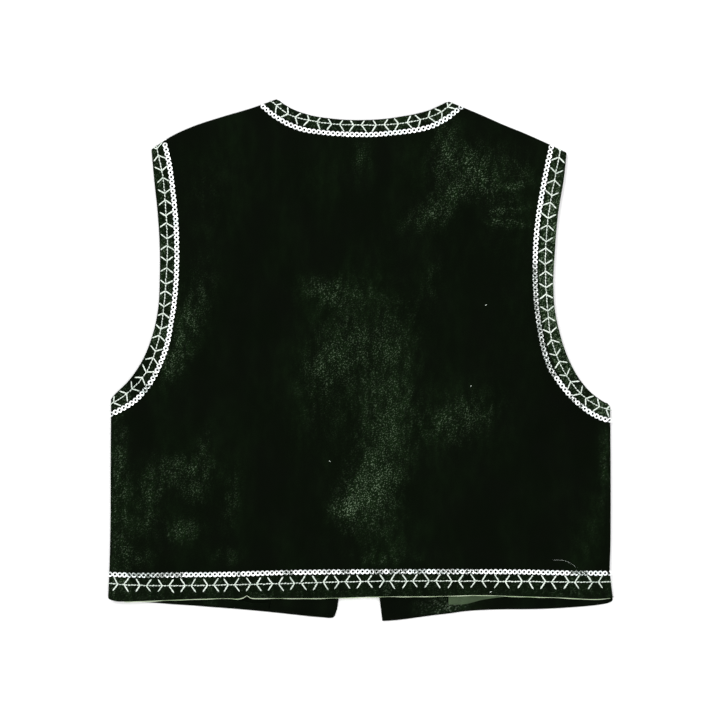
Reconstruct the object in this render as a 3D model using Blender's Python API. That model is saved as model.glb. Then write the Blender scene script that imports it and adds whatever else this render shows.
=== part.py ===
"""Velvet folk waistcoat, laid flat with its back panel up and its two open fronts underneath.

Metres, +Z up, +Y towards the neck. The fronts rest on z = 0 and the origin is the middle of the
footprint. Back and fronts are cloth walls joined along the side and shoulder seams. The fronts have a
velvet facing, a turned hem and, on one side, a lining that show below the back hem.
"""

import bpy
import numpy as np
from mathutils import Vector
from mathutils.bvhtree import BVHTree

# Walls and the gap that parts two pieces
CLOTH = 0.0015
LINING = 0.0010
SEAM_GAP = 0.0003

# Heights above the surface that the waistcoat lies on
FRONT_TOP = CLOTH
INNER_BOTTOM = FRONT_TOP + SEAM_GAP
HEM_LINING_BOTTOM = INNER_BOTTOM + LINING + SEAM_GAP
BACK_TOP = HEM_LINING_BOTTOM + LINING + SEAM_GAP + CLOTH
BACK_SEAM = 0.0027
FRONT_SEAM = BACK_SEAM - SEAM_GAP
BACK_ROLL = BACK_TOP - BACK_SEAM
FRONT_ROLL = FRONT_SEAM

# The back swells gently from its edges, and its free armhole and neck edges settle on the fronts
SWELL = 0.0006
SWELL_REACH = 0.045
EDGE_DROP = 0.0009
EDGE_REACH = 0.012

# Sewn-on rows and inner pieces
SEQUIN_ROW = 0.0046
SEQUIN_ROW_HEIGHT = 0.0010
ROW_END = 0.0036
FACING_WIDTH = 0.0580
TURNED_HEM = (0.0050, 0.0105)
TURNED_HEM_WIDENS = (0.0100, 0.0600)
LINING_SHOWN = 0.0800
HEM_LINING_PROUD = 0.0009
HEM_LINING_DEPTH = 0.0120
HEM_LINING_ENDS = (0.033, 0.990)
INNER_INSET = 0.0012
SIDE_CLEARANCE = 0.0060

# Outline of the back, each line from left to right or from hem to shoulder: columns x, y
BACK_HEM = (
    (-0.2274, -0.2120), (-0.2262, -0.2147), (-0.2218, -0.2164), (-0.2120, -0.2171), (-0.2000, -0.2168),
    (-0.1778, -0.2160), (-0.1562, -0.2151), (-0.1346, -0.2144), (-0.0914, -0.2141), (-0.0270, -0.2139),
    (0.0130, -0.2127), (0.0700, -0.2122), (0.1076, -0.2113), (0.1349, -0.2121), (0.1800, -0.2135),
    (0.2220, -0.2143), (0.2274, -0.2136),
)
SIDE_LEFT = (
    (-0.2274, -0.2120), (-0.2268, -0.2000), (-0.2254, -0.1500), (-0.2252, -0.0900), (-0.2248, -0.0352),
)
SIDE_RIGHT = (
    (0.2274, -0.2136), (0.2262, -0.2010), (0.2254, -0.1850), (0.2252, -0.1400), (0.2254, -0.0950),
    (0.2250, -0.0414),
)
ARMHOLE_LEFT = (
    (-0.2248, -0.0352), (-0.2198, -0.0300), (-0.2090, -0.0194), (-0.2009, -0.0086), (-0.1946, 0.0023),
    (-0.1901, 0.0131), (-0.1865, 0.0239), (-0.1820, 0.0455), (-0.1804, 0.0750), (-0.1804, 0.1000),
    (-0.1822, 0.1310), (-0.1856, 0.1640), (-0.1880, 0.1900),
)
ARMHOLE_RIGHT = (
    (0.2250, -0.0414), (0.2178, -0.0374), (0.2072, -0.0295), (0.1982, -0.0193), (0.1863, 0.0023),
    (0.1791, 0.0239), (0.1746, 0.0455), (0.1733, 0.0690), (0.1748, 0.0995), (0.1776, 0.1320),
    (0.1829, 0.1643), (0.1853, 0.1870),
)
SHOULDER_LEFT = (
    (-0.1880, 0.1900), (-0.1690, 0.2024), (-0.1512, 0.2104), (-0.1242, 0.2193), (-0.0972, 0.2273),
    (-0.0757, 0.2350),
)
SHOULDER_RIGHT = (
    (0.0797, 0.2328), (0.1098, 0.2204), (0.1278, 0.2124), (0.1458, 0.2051), (0.1638, 0.1972),
    (0.1853, 0.1870),
)
NECK = (
    (-0.0757, 0.2350), (-0.0702, 0.2308), (-0.0612, 0.2256), (-0.0522, 0.2221), (-0.0432, 0.2196),
    (-0.0300, 0.2175), (-0.0100, 0.2158), (0.0080, 0.2159), (0.0240, 0.2170), (0.0378, 0.2191),
    (0.0513, 0.2216), (0.0648, 0.2257), (0.0738, 0.2300), (0.0797, 0.2328),
)

# Outline of the fronts: hem from the side seam to the front edge, then up the edge and round the neck
FRONT_HEM_LEFT = (
    (-0.2274, -0.2125), (-0.2262, -0.2152), (-0.2218, -0.2168), (-0.2120, -0.2175), (-0.1900, -0.2186),
    (-0.1692, -0.2202), (-0.1512, -0.2213), (-0.1332, -0.2227), (-0.1152, -0.2240), (-0.0972, -0.2255),
    (-0.0792, -0.2272), (-0.0612, -0.2291), (-0.0432, -0.2310), (-0.0330, -0.2318), (-0.0270, -0.2322),
    (-0.0246, -0.2318), (-0.0236, -0.2305),
)
FRONT_HEM_RIGHT = (
    (0.2274, -0.2141), (0.2268, -0.2172), (0.2230, -0.2193), (0.2178, -0.2203), (0.2050, -0.2219),
    (0.1908, -0.2230), (0.1773, -0.2238), (0.1593, -0.2245), (0.1250, -0.2248), (0.1053, -0.2255),
    (0.0918, -0.2266), (0.0828, -0.2279), (0.0648, -0.2300), (0.0513, -0.2318), (0.0378, -0.2336),
    (0.0288, -0.2345), (0.0200, -0.2350),
)
FRONT_EDGE_LEFT = (
    (-0.0236, -0.2305), (-0.0220, -0.2262), (-0.0200, -0.2145), (-0.0110, -0.0800), (-0.0035, 0.0650),
)
FRONT_EDGE_RIGHT = (
    (0.0200, -0.2350), (0.0176, -0.2145), (0.0105, -0.0800), (0.0035, 0.0650),
)
FRONT_NECK_LEFT = (
    (-0.0035, 0.0650), (-0.0185, 0.1150), (-0.0450, 0.1700), (-0.0757, 0.2350),
)
FRONT_NECK_RIGHT = (
    (0.0035, 0.0650), (0.0195, 0.1150), (0.0470, 0.1700), (0.0797, 0.2328),
)
FRONT_ARMHOLE_CUT = 0.0050

# Broad folds of the back: columns x, y, direction in degrees, half length, half width, height
FOLDS = (
    (0.0200, 0.0200, -58, 0.085, 0.030, 0.0008),
    (0.0150, -0.1150, 84, 0.070, 0.026, 0.0010),
    (0.0900, 0.1400, -66, 0.055, 0.024, 0.0007),
    (-0.1550, -0.1150, 72, 0.060, 0.022, 0.0007),
    (-0.1200, 0.0500, 80, 0.070, 0.024, -0.0005),
    (-0.0500, -0.0600, 70, 0.080, 0.024, -0.0005),
    (0.1200, -0.0700, 62, 0.070, 0.026, -0.0005),
    (0.1150, -0.2050, 2, 0.040, 0.012, 0.0006),
)
FOLD_FADE = 0.030

# Middle of each sequin row, from one seam to another: columns x, y
SEQUIN_ROWS = {
    "neck": (
        (-0.0892, 0.2298), (-0.0810, 0.2223), (-0.0740, 0.2174), (-0.0669, 0.2133), (-0.0511, 0.2073),
        (-0.0342, 0.2048), (-0.0083, 0.2030), (0.0137, 0.2030), (0.0310, 0.2046), (0.0484, 0.2067),
        (0.0653, 0.2109), (0.0729, 0.2148), (0.0801, 0.2192), (0.0867, 0.2247), (0.0908, 0.2282),
    ),
    "hem": (
        (-0.2266, -0.1926), (-0.2066, -0.1935), (-0.1580, -0.1932), (-0.1220, -0.1928),
        (-0.0680, -0.1912), (-0.0050, -0.1904), (0.0626, -0.1903), (0.1526, -0.1908), (0.1886, -0.1916),
        (0.2248, -0.1919),
    ),
    "armhole_left": (
        (-0.2249, -0.0489), (-0.2159, -0.0447), (-0.2020, -0.0357), (-0.1882, -0.0190),
        (-0.1803, -0.0035), (-0.1757, 0.0085), (-0.1703, 0.0340), (-0.1672, 0.0555), (-0.1653, 0.0895),
        (-0.1661, 0.1233), (-0.1684, 0.1485), (-0.1716, 0.1733), (-0.1768, 0.1976),
    ),
    "armhole_right": (
        (0.2250, -0.0543), (0.2174, -0.0527), (0.2098, -0.0490), (0.1952, -0.0385), (0.1776, -0.0180),
        (0.1710, -0.0080), (0.1660, 0.0060), (0.1616, 0.0265), (0.1582, 0.0510), (0.1572, 0.0930),
        (0.1588, 0.1190), (0.1648, 0.1580), (0.1718, 0.1936),
    ),
}

# How finely the pieces are cut into faces
BACK_COLUMNS = (9, 13, 9)
BACK_ROWS = (13, 14)
FRONT_COLUMNS = 10
FRONT_ROWS = (12, 13)
ROLL_STEPS = np.radians((30, 60, 90))
FACING_POINTS = 16
TURNED_HEM_POINTS = 24
HEM_LINING_POINTS = 36
ROW_SPACING = 0.0060
SHARP_ANGLE = np.radians(40)

# How finely the lines are sampled
CURVE_SAMPLES = 24
LINE_SAMPLES = 400

# Colour, roughness and metallic value of each finish
FINISHES = {
    "velvet": ((0.012, 0.022, 0.010, 1), 0.85, 0.0),
    "facing_velvet": ((0.009, 0.016, 0.008, 1), 0.85, 0.0),
    "green_lining": ((0.075, 0.120, 0.055, 1), 0.60, 0.0),
    "sequins": ((0.820, 0.840, 0.840, 1), 0.25, 0.8),
}


def curve(points):
    """A smooth line through the points, as a function of the share of its length."""
    p = np.array(points, float)
    run = np.concatenate([[0], np.cumsum(np.linalg.norm(np.diff(p, axis=0), axis=1))])
    step = np.diff(run)[:, None]
    slope = np.diff(p, axis=0) / step
    inner = (slope[:-1] * step[1:] + slope[1:] * step[:-1]) / (step[1:] + step[:-1])
    tangent = np.vstack([slope[:1], inner, slope[-1:]])
    t = np.linspace(0, 1, CURVE_SAMPLES, endpoint=False)[None, :, None]
    a, b = p[:-1, None], p[1:, None]
    m, n = (tangent[:-1] * step)[:, None], (tangent[1:] * step)[:, None]
    dense = (
        a * (2 * t**3 - 3 * t**2 + 1)
        + m * (t**3 - 2 * t**2 + t)
        + b * (3 * t**2 - 2 * t**3)
        + n * (t**3 - t**2)
    )
    dense = np.vstack([dense.reshape(-1, 2), p[-1:]])
    length = np.concatenate([[0], np.cumsum(np.linalg.norm(np.diff(dense, axis=0), axis=1))])
    return lambda share: np.stack(
        [np.interp(np.asarray(share) * length[-1], length, dense[:, k]) for k in (0, 1)], axis=-1
    )


def by_x(line):
    """The same line, as a function of the share of its run from side to side."""
    points = line(np.linspace(0, 1, LINE_SAMPLES))
    x = points[:, 0]
    way = np.sign(x[-1] - x[0])

    def at(share):
        place = x[0] + (x[-1] - x[0]) * np.asarray(share)
        return np.stack([place, np.interp(way * place, way * x, points[:, 1])], axis=-1)

    return at


def chain(curves, joints):
    """Several lines as one, meeting at the given shares."""
    ends = np.concatenate([[0], joints, [1]])

    def at(share):
        share = np.asarray(share, float)
        which = np.clip(np.searchsorted(ends, share, side="right") - 1, 0, len(curves) - 1)
        found = np.empty(share.shape + (2,))
        for k, one in enumerate(curves):
            mine = which == k
            found[mine] = one((share[mine] - ends[k]) / (ends[k + 1] - ends[k]))
        return found

    return at


def patch(bottom, top, left, right, across, up):
    """The flat shape between four lines: a grid of points, one row for each share in up."""
    u, v = across[None, :, None], up[:, None, None]
    low, high = bottom(across)[None], top(across)[None]
    west, east = left(up)[:, None], right(up)[:, None]
    corners = (
        (1 - u) * (1 - v) * low[:, :1]
        + u * (1 - v) * low[:, -1:]
        + (1 - u) * v * high[:, :1]
        + u * v * high[:, -1:]
    )
    return (1 - v) * low + v * high + (1 - u) * west + u * east - corners


def distance(points, line):
    """Distance from each point to a line, which is sampled into short straight runs."""
    ends = line(np.linspace(0, 1, 2 * CURVE_SAMPLES))
    a, run = ends[:-1], np.diff(ends, axis=0)
    offset = points[..., None, :] - a
    share = np.clip((offset * run).sum(-1) / (run * run).sum(-1), 0, 1)
    return np.linalg.norm(offset - share[..., None] * run, axis=-1).min(-1)


def smooth(x):
    """0 to 1 with no corner at either end."""
    x = np.clip(x, 0, 1)
    return x * x * (3 - 2 * x)


def quarter_turn(inset, radius):
    """Share of the height of a quarter circle, from 0 at the seam to 1 at radius from it."""
    return np.sqrt(1 - (1 - np.clip(inset / radius, 0, 1)) ** 2)


def steps_from(radius, size):
    """Shares of a panel's size at which columns follow the quarter turn of a seam."""
    return radius * (1 - np.cos(ROLL_STEPS)) / size


back_hem = by_x(curve(BACK_HEM))
side_left, side_right = curve(SIDE_LEFT), curve(SIDE_RIGHT)
armhole_left, armhole_right = curve(ARMHOLE_LEFT), curve(ARMHOLE_RIGHT)
shoulder_left, shoulder_right = curve(SHOULDER_LEFT), curve(SHOULDER_RIGHT)
neck = curve(NECK)
SEAMS = (side_left, side_right, shoulder_left, shoulder_right)
BACK_WIDTH = side_right(0)[0] - side_left(0)[0]
BACK_LENGTH = shoulder_left(1)[1] - back_hem(0.5)[1]


def seam_inset(xy):
    """Distance to the nearest side or shoulder seam."""
    return np.min([distance(xy, seam) for seam in SEAMS], axis=0)


def folds(xy):
    """Sum of the broad folds, each a soft oval ridge or trough."""
    total = np.zeros(xy.shape[:-1])
    for x, y, degrees, half_length, half_width, height in FOLDS:
        turn = np.radians(degrees)
        dx, dy = xy[..., 0] - x, xy[..., 1] - y
        along = (dx * np.cos(turn) + dy * np.sin(turn)) / half_length
        across = (dy * np.cos(turn) - dx * np.sin(turn)) / half_width
        total += height * np.exp(-(along**2) - across**2)
    return total


def back_height(xy):
    """Height of the back's velvet side."""
    seam = seam_inset(xy)
    free = np.min([distance(xy, edge) for edge in (armhole_left, armhole_right, neck)], axis=0)
    hem = distance(xy, back_hem)
    inset = np.minimum(seam, free)
    open_height = (
        BACK_TOP
        + SWELL * smooth(np.minimum(inset, hem) / SWELL_REACH)
        + folds(xy) * smooth(inset / FOLD_FADE)
        - EDGE_DROP * (1 - smooth(free / EDGE_REACH))
    )
    return BACK_SEAM + (open_height - BACK_SEAM) * quarter_turn(seam, BACK_ROLL)


def front_height(xy):
    """Height of a front's velvet side, flat but for the turn up to its seams."""
    return FRONT_SEAM * (1 - quarter_turn(seam_inset(xy), FRONT_ROLL))


def grid_normals(grid, upwards):
    """Unit normals of a grid of points. On the side and shoulder seams they lie flat."""
    across, up = np.gradient(grid, axis=1), np.gradient(grid, axis=0)
    normals = np.cross(across, up)
    if not upwards:
        normals = -normals
    border = np.zeros(grid.shape[:2], bool)
    border[0], border[-1], border[:, 0], border[:, -1] = True, True, True, True
    on_seam = border & (seam_inset(grid[..., :2]) < SEAM_GAP)
    outward = np.stack([-up[..., 1], up[..., 0]], axis=-1)
    outward[:, -1] *= -1
    outward[-1] = np.stack([-across[-1, :, 1], across[-1, :, 0]], axis=-1)
    normals[on_seam] = np.concatenate([outward, np.zeros(grid.shape[:2] + (1,))], axis=-1)[on_seam]
    return normals / np.linalg.norm(normals, axis=-1)[..., None]


def wall(name, outer, inner, finish, upwards=True):
    """A closed wall between two grids of points, which faces up or down with its outer side."""
    rows, columns = outer.shape[:2]
    points = np.concatenate([outer.reshape(-1, 3), inner.reshape(-1, 3)])
    place = np.arange(rows * columns).reshape(rows, columns)
    quads = np.stack(
        [place[:-1, :-1], place[:-1, 1:], place[1:, 1:], place[1:, :-1]], axis=-1
    ).reshape(-1, 4)
    rim = np.concatenate([place[0], place[1:, -1], place[-1, -2::-1], place[-2:0:-1, 0]])
    following = np.roll(rim, -1)
    below = rows * columns
    sides = np.stack([rim, rim + below, following + below, following], axis=-1)
    faces = np.concatenate([quads, quads[:, ::-1] + below, sides])
    if not upwards:
        faces = faces[:, ::-1]
    mesh = bpy.data.meshes.new(name)
    mesh.from_pydata(points.tolist(), [], faces.tolist())
    mesh.shade_smooth()
    mesh.set_sharp_from_angle(angle=SHARP_ANGLE)
    mesh.materials.append(material(finish))
    made = bpy.data.objects.new(name, mesh)
    bpy.context.scene.collection.objects.link(made)
    return made


def material(finish):
    """The Principled material of a finish, made once."""
    found = bpy.data.materials.get(finish)
    if found is None:
        colour, roughness, metallic = FINISHES[finish]
        found = bpy.data.materials.new(finish)
        found.use_nodes = True
        shader = found.node_tree.nodes["Principled BSDF"]
        shader.inputs["Base Color"].default_value = colour
        shader.inputs["Roughness"].default_value = roughness
        shader.inputs["Metallic"].default_value = metallic
    return found


def with_height(xy, height):
    """Plan points lifted to a height, which may be one number."""
    return np.concatenate([xy, np.broadcast_to(height, xy.shape[:-1])[..., None]], axis=-1)


def panel_shares(counts, start, end):
    """Shares along a panel: runs of even steps, with extra ones that follow a seam at either end."""
    total = sum(counts)
    even = np.linspace(0, 1, total + 1)[1:-1]
    return np.concatenate([[0], start, even, 1 - np.flip(end), [1]]), np.cumsum(counts)[:-1] / total


def build_back():
    """The back panel, one piece of velvet from side to side and from hem to shoulders and neck."""
    roll_across = steps_from(BACK_ROLL, BACK_WIDTH)
    across, corners = panel_shares(BACK_COLUMNS, roll_across, roll_across)
    up, underarm = panel_shares(BACK_ROWS, [], steps_from(BACK_ROLL, BACK_LENGTH))
    xy = patch(
        back_hem,
        chain((shoulder_left, neck, shoulder_right), corners),
        chain((side_left, armhole_left), underarm),
        chain((side_right, armhole_right), underarm),
        across,
        up,
    )
    outer = with_height(xy, back_height(xy))
    return wall("back_panel", outer, outer - CLOTH * grid_normals(outer, True), "velvet")


def deeper(armhole, middle_turn):
    """A front's armhole line: the back's, cut deeper towards the middle of its length."""

    def at(share):
        points = armhole(share)
        points[..., 0] += middle_turn * FRONT_ARMHOLE_CUT * np.sin(np.pi * np.asarray(share)) ** 2
        return points

    return at


def build_front(name, hem, side, armhole, shoulder, edge, neckline, seam_on_left):
    """One front panel, velvet side down, from its side seam to its open front edge."""
    across, _ = panel_shares((FRONT_COLUMNS,), steps_from(FRONT_ROLL, BACK_WIDTH / 2), [])
    up, underarm = panel_shares(FRONT_ROWS, [], steps_from(FRONT_ROLL, BACK_LENGTH))
    outside = chain((side, armhole), underarm)
    inside = chain((edge, neckline), underarm)
    if seam_on_left:
        xy = patch(hem, shoulder, outside, inside, across, up)
    else:
        xy = patch(
            lambda share: hem(1 - share),
            shoulder,
            inside,
            outside,
            1 - across[::-1],
            up,
        )
    outer = with_height(xy, front_height(xy))
    return wall(name, outer, outer - CLOTH * grid_normals(outer, False), "velvet", upwards=False)


def flat_strip(name, first, second, bottom, finish):
    """A level strip of inner cloth between two rows of plan points."""
    xy = np.stack([first, second])
    if np.cross(xy[0, -1] - xy[0, 0], xy[1, 0] - xy[0, 0]) < 0:
        xy = xy[::-1]
    return wall(name, with_height(xy, bottom + LINING), with_height(xy, bottom), finish)


def inner_hem(hem, x):
    """Points at the given x on a front's hem line, moved in from the cloth's edge."""
    points = hem(np.linspace(0, 1, LINE_SAMPLES))
    order = np.argsort(points[:, 0])
    return np.stack([x, np.interp(x, points[order, 0], points[order, 1]) + INNER_INSET], axis=-1)


def build_inner_front(side_name, hem, edge, outward):
    """Facing along the open edge and turned hem, which lie on the front's inner side."""
    near = edge(np.linspace(0, 1, FACING_POINTS)) + [outward * INNER_INSET, 0]
    near[0, 1] += INNER_INSET
    far = near + [outward * FACING_WIDTH, 0]
    corner = inner_hem(hem, far[0, 0])
    top = near[-1, 1]
    far[:, 1] = top - (top - near[:, 1]) * (top - corner[1]) / (top - near[0, 1])
    flat_strip("front_facing_" + side_name, near, far, INNER_BOTTOM, "facing_velvet")
    start = far[0, 0] + outward * SEAM_GAP
    end = outward * (BACK_WIDTH / 2 - SIDE_CLEARANCE)
    x = np.linspace(start, end, TURNED_HEM_POINTS)
    low = inner_hem(hem, x)
    narrow, wide = TURNED_HEM
    near_end, far_end = TURNED_HEM_WIDENS
    width = narrow + (wide - narrow) * smooth((np.abs(x - start) - near_end) / (far_end - near_end))
    high = low + np.stack([0 * x, width], axis=-1)
    flat_strip("turned_hem_" + side_name, low, high, INNER_BOTTOM, "facing_velvet")
    return high


def build_front_lining(name, above):
    """The lining that shows behind the facing, above the turned hem."""
    low = above + [0, SEAM_GAP]
    high = low + [0, LINING_SHOWN]
    flat_strip(name, low, high, INNER_BOTTOM, "green_lining")


def build_hem_lining():
    """Edge of the back's lining, which stands a little proud of the velvet hem."""
    edge = back_hem(np.linspace(*HEM_LINING_ENDS, HEM_LINING_POINTS))
    low, high = edge - [0, HEM_LINING_PROUD], edge + [0, HEM_LINING_DEPTH]
    flat_strip("back_hem_lining", low, high, HEM_LINING_BOTTOM, "green_lining")


def build_sequin_row(name, line, surface):
    """A row of sequins as one raised band that follows the back panel's own surface."""
    length = np.linalg.norm(np.diff(line(np.linspace(0, 1, LINE_SAMPLES)), axis=0), axis=1).sum()
    path = line(np.linspace(ROW_END / length, 1 - ROW_END / length, int(length / ROW_SPACING)))
    along = np.gradient(path, axis=0)
    along /= np.linalg.norm(along, axis=1)[:, None]
    sideways = np.stack([-along[:, 1], along[:, 0]], axis=-1) * SEQUIN_ROW / 2
    xy = np.stack([path - sideways, path, path + sideways])
    lift = np.array(
        [[surface.ray_cast(Vector((x, y, 1)), Vector((0, 0, -1)))[0].z for x, y in row] for row in xy]
    )
    bottom = with_height(xy, lift + SEAM_GAP)
    top = with_height(xy, lift + SEAM_GAP + SEQUIN_ROW_HEIGHT)
    return wall(name, top, bottom, "sequins")


def build_sequin_rows(back):
    """The four rows of the back: neck, both armholes and hem."""
    mesh = back.data
    surface = BVHTree.FromPolygons([v.co for v in mesh.vertices], [p.vertices for p in mesh.polygons])
    for place, points in SEQUIN_ROWS.items():
        build_sequin_row("sequin_row_" + place, curve(points), surface)


def main():
    for old in list(bpy.data.objects):
        bpy.data.objects.remove(old, do_unlink=True)
    back = build_back()
    build_front(
        "front_left",
        by_x(curve(FRONT_HEM_LEFT)),
        side_left,
        deeper(armhole_left, 1),
        shoulder_left,
        curve(FRONT_EDGE_LEFT),
        curve(FRONT_NECK_LEFT),
        seam_on_left=True,
    )
    build_front(
        "front_right",
        by_x(curve(FRONT_HEM_RIGHT)),
        side_right,
        deeper(armhole_right, -1),
        shoulder_right,
        curve(FRONT_EDGE_RIGHT),
        curve(FRONT_NECK_RIGHT),
        seam_on_left=False,
    )
    build_inner_front("left", by_x(curve(FRONT_HEM_LEFT)), curve(FRONT_EDGE_LEFT), -1)
    above = build_inner_front("right", by_x(curve(FRONT_HEM_RIGHT)), curve(FRONT_EDGE_RIGHT), 1)
    build_front_lining("front_lining_right", above)
    build_hem_lining()
    build_sequin_rows(back)


main()
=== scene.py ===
import bpy
import numpy as np
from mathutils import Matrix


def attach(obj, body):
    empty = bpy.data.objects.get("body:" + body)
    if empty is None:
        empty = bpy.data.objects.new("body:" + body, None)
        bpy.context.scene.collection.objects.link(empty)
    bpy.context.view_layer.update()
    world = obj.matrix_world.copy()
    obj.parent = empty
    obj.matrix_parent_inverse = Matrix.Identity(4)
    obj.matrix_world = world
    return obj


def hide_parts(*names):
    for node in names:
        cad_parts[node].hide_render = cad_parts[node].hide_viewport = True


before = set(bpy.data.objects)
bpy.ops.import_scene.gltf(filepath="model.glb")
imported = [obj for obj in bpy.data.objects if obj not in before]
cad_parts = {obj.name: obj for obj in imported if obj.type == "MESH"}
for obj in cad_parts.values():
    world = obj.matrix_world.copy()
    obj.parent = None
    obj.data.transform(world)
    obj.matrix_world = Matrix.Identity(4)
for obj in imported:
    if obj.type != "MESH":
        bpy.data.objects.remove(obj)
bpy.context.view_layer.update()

# Back panel. One piece of dark green cotton velvet, cut whole from side to side. It rolls down to its
# side and shoulder seams, and its hem, armholes and neck are turned under as soft edges. It lies over
# the fronts with broad low folds, and the sewn trims pucker it a little.
VELVET = 0.0015
BACK_TOP = 0.0059
BACK_SEAM = 0.0027
SIDE_REACH = 0.0024
SWELL = 0.0006
SWELL_REACH = 0.045
EDGE_DROP = 0.0009
EDGE_REACH = 0.012
FOLD_FADE = 0.03
CREASE_FADE = 0.012
RUMPLE = 0.00012
SOFT_EDGE = 0.0004
SEAM_EDGE = 0.00015
ON_SEAM = 0.0003

BACK_CUT = (0.4548, 0.4521)
# Grid: the length that its rows share out, its margins, and its steps in them and between them
GRID_LENGTH = 0.45
MARGIN = 0.027
MARGIN_STEP = 0.0016
MIDDLE_STEP = 0.0036
SHOULDER_JOINTS = (0.3, 0.715)
UNDERARM_JOINT = 0.44

TRIM_WIDTH = {"neck": 0.0126, "armhole_left": 0.0152, "armhole_right": 0.0152, "hem": 0.0234}
MOTIF = 0.0202
TRIM_FADE = 0.004
RIPPLE = 0.0001
RIPPLE_FADE = 0.01
TROUGH = 0.00018
TROUGH_REACH = 0.0022

# Outline from left to right or from hem to shoulder: columns x, y in mm
BACK_HEM = (
    (-227.4, -212), (-226.2, -214.7), (-221.8, -216.4), (-212, -217.1), (-200, -216.8), (-177.8, -216),
    (-156.2, -215.1), (-134.6, -214.4), (-91.4, -214.1), (-27, -213.9), (13, -212.7), (70, -212.2),
    (107.6, -211.3), (134.9, -212.1), (180, -213.5), (222, -214.3), (227.4, -213.6),
)
# Dip and peak of the hem's kink: columns x, width, rise in mm
HEM_KINK = ((-111.5, 3, -0.5), (-102.4, 2.8, 2.6))
SIDE_LEFT = ((-227.4, -212), (-226.8, -200), (-225.4, -150), (-225.2, -90), (-224.8, -35.2))
SIDE_RIGHT = ((227.4, -213.6), (225.8, -201), (224.8, -192), (225.2, -170), (225.4, -95), (225, -41.4))
ARMHOLE_LEFT = (
    (-224.8, -35.2), (-219.8, -30), (-209, -19.4), (-200.9, -8.6), (-194.6, 2.3), (-190.1, 13.1),
    (-186.5, 23.9), (-182, 45.5), (-180.4, 75), (-180.4, 100), (-182.2, 131), (-185.6, 164), (-188, 190),
)
ARMHOLE_RIGHT = (
    (225, -41.4), (217.8, -37.4), (207.2, -29.5), (198.2, -19.3), (186.3, 2.3), (179.1, 23.9),
    (174.6, 45.5), (173.3, 69), (174.8, 99.5), (177.6, 132), (182.9, 164.3), (185.3, 187),
)
SHOULDER_LEFT = (
    (-188, 190), (-169, 202.4), (-151.2, 210.4), (-124.2, 219.3), (-97.2, 227.3), (-75.7, 235),
)
SHOULDER_RIGHT = (
    (79.7, 232.8), (109.8, 220.4), (127.8, 212.4), (145.8, 205.1), (163.8, 197.2), (185.3, 187),
)
NECK = (
    (-75.7, 235), (-70.2, 230.8), (-61.2, 225.6), (-52.2, 222.1), (-43.2, 219.6), (-30, 217.5),
    (-10, 215.8), (8, 215.9), (24, 217), (37.8, 219.1), (51.3, 221.6), (64.8, 225.7), (73.8, 230),
    (79.7, 232.8),
)

# Middle of each row of sequins and of each embroidered row, from seam to seam: columns x, y in mm
SEQUIN_ROWS = {
    "neck": (
        (-87.6, 228), (-81, 222.3), (-74, 217.4), (-66.9, 213.3), (-51.1, 207.3), (-34.2, 204.8),
        (-8.3, 203), (13.7, 203), (31, 204.6), (48.4, 206.7), (65.3, 210.9), (72.9, 214.8), (80.1, 219.2),
        (85, 223.2), (90.1, 227.2),
    ),
    "hem": (
        (-225.2, -192.8), (-206.6, -193.5), (-158, -193.2), (-122, -192.8), (-68, -191.2), (-5, -190.4),
        (62.6, -190.3), (152.6, -190.8), (188.6, -191.6), (224.3, -191.9),
    ),
    "armhole_left": (
        (-224.3, -48.7), (-215.9, -44.7), (-202, -35.7), (-188.2, -19), (-180.3, -3.5), (-175.7, 8.5),
        (-170.3, 34), (-167.2, 55.5), (-165.3, 89.5), (-166.1, 123.3), (-168.4, 148.5), (-171.6, 173.3),
        (-176.7, 197.5),
    ),
    "armhole_right": (
        (224.3, -54.1), (217.4, -52.7), (209.8, -49), (195.2, -38.5), (177.6, -18), (171, -8), (166, 6),
        (161.6, 26.5), (158.2, 51), (157.2, 93), (158.8, 119), (164.8, 158), (171.5, 191.2),
    ),
}
STITCH_ROWS = {
    "neck": (
        (-80.6, 233), (-76, 229.5), (-64.8, 221), (-45.5, 215.6), (-26.6, 212.6), (-5.9, 211.6),
        (14.4, 211.5), (34.7, 212.8), (55.4, 216.5), (73.8, 224.1), (82.4, 231.5),
    ),
    "hem": (
        (-226.7, -201), (-205.9, -202.5), (-178.5, -203.1), (-137.4, -202.6), (-68, -201.1),
        (-27.5, -199.9), (15, -199.1), (81.5, -198.8), (152.6, -199.4), (188.6, -199.8), (225.6, -199.6),
    ),
    "armhole_left": (
        (-224.9, -40), (-210, -30), (-195.9, -15.5), (-186.2, 3), (-180.5, 24), (-175.6, 64),
        (-173.8, 100), (-174.8, 130.5), (-177.7, 163), (-183.6, 192.8),
    ),
    "armhole_right": (
        (225, -45), (215, -42), (203, -34.6), (188.3, -18.5), (178, 0), (171.8, 19), (168, 50),
        (166.3, 85), (168.6, 126), (174.5, 161.5), (180, 189.4),
    ),
}

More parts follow.
